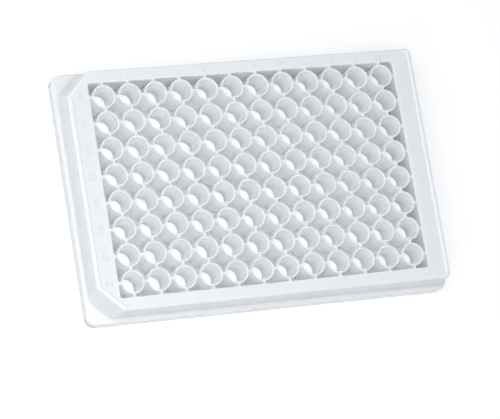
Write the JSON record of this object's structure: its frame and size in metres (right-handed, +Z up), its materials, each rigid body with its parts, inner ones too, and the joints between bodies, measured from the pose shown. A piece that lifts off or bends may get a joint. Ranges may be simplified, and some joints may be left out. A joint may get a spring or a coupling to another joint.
{
  "type": "well plate",
  "caption": "Flat laboratory plate moulded in one piece: a skirted frame round a grid of small flat-bottomed wells",
  "frame": {"origin": "centre of the footprint, on the surface that the plate stands on", "axes": "+X along the long side from the keyed end towards the last column, +Y along the short side towards row A, +Z up out of the wells"},
  "size_m": [0.1278, 0.0854, 0.0145],
  "materials": {
    "plate": "white, slightly translucent polystyrene with a fine satin gloss"
  },
  "bodies": {
    "root": {"plate": "plate"}
  },
  "joints": []
}
